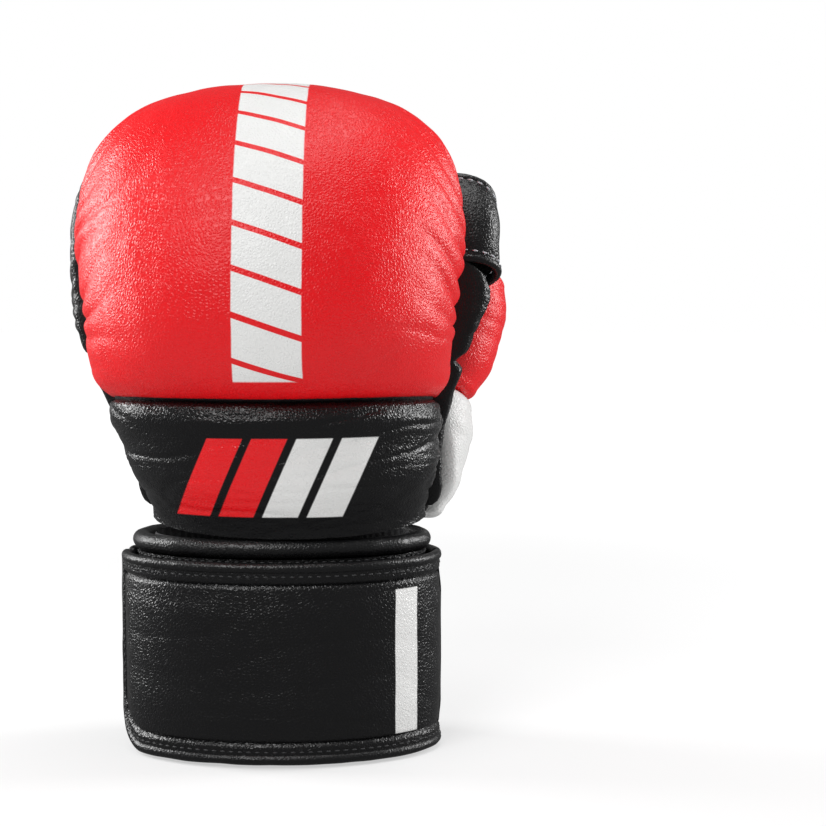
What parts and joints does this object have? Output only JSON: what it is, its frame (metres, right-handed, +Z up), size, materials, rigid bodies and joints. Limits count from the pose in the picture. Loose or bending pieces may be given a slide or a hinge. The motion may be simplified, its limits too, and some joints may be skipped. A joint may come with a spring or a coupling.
{
  "type": "mma glove",
  "caption": "Left-hand padded sparring glove with open palm, curled knuckle pad, finger loops, padded thumb and a wrap strap that closes over the wrist.",
  "frame": {"origin": "middle of the bottom face of the glove's box, on the surface it stands on", "axes": "+Z up from the wrist to the knuckles, -Y the back of the hand, +Y the palm, +X the thumb side"},
  "size_m": [0.178, 0.1416, 0.2649],
  "materials": {
    "red_leather": "smooth semi-gloss red leather with fine pebble grain",
    "white_leather": "smooth semi-gloss white leather",
    "black_leather": "smooth semi-gloss black leather with fine creases",
    "black_binding": "folded black leather binding, semi-gloss",
    "foam": "matt closed-cell foam",
    "lining": "matt ribbed textile",
    "fastener_tape": "matt hook-and-loop tape"
  },
  "bodies": {
    "hand": {"backhand_foam": "foam", "backhand_lining": "lining", "backhand_skin": "black_leather", "cuff_bottom_binding": "black_binding", "cuff_lining": "lining", "cuff_loop_patch": "fastener_tape", "cuff_sleeve": "black_leather", "cuff_top_binding": "black_binding", "gusset_pinky_lower": "black_leather", "gusset_thumb_lower": "black_leather", "palm_heel_binding": "black_binding", "palm_heel_panel": "black_leather", "strap_wrap": "black_leather", "strap_wrap_bottom_binding": "black_binding", "strap_wrap_padding": "foam", "strap_wrap_top_binding": "black_binding"},
    "knuckles": {"finger_loop_index": "black_leather", "finger_loop_little": "black_leather", "finger_loop_middle": "black_leather", "finger_loop_ring": "black_leather", "gusset_pinky_upper": "black_leather", "gusset_thumb_upper": "black_leather", "knuckle_foam_inner": "foam", "knuckle_foam_outer": "foam", "knuckle_lining": "lining", "knuckle_rim_binding": "black_binding", "knuckle_skin": "red_leather"},
    "thumb": {"thumb_base_foam": "foam", "thumb_base_skin": "white_leather", "thumb_binding": "black_binding", "thumb_lining": "lining", "thumb_sleeve": "black_leather", "thumb_tip_foam": "foam", "thumb_tip_skin": "red_leather"},
    "flap": {"strap_flap": "black_leather", "strap_flap_binding": "black_binding", "strap_hook_patch": "fastener_tape"}
  },
  "joints": [
    {"name": "strap_open", "type": "hinge", "parent": "hand", "child": "flap", "pos_m": [0.06084, 0.00141, 0.04], "axis": [0, 0, 1], "range_deg": [0, 110]},
    {"name": "thumb_swing", "type": "hinge", "parent": "hand", "child": "thumb", "pos_m": [0.06448, 0.02141, 0.08835], "axis": [0, 1, 0], "range_deg": [0, 20], "stiffness_Nm_per_rad": 1.5, "springref_deg": -5.73},
    {"name": "knuckle_curl", "type": "hinge", "parent": "hand", "child": "knuckles", "pos_m": [-0.00346, 0.03002, 0.15895], "axis": [-1, 0, 0], "range_deg": [0, 10], "stiffness_Nm_per_rad": 4, "springref_deg": -5.73}
  ]
}
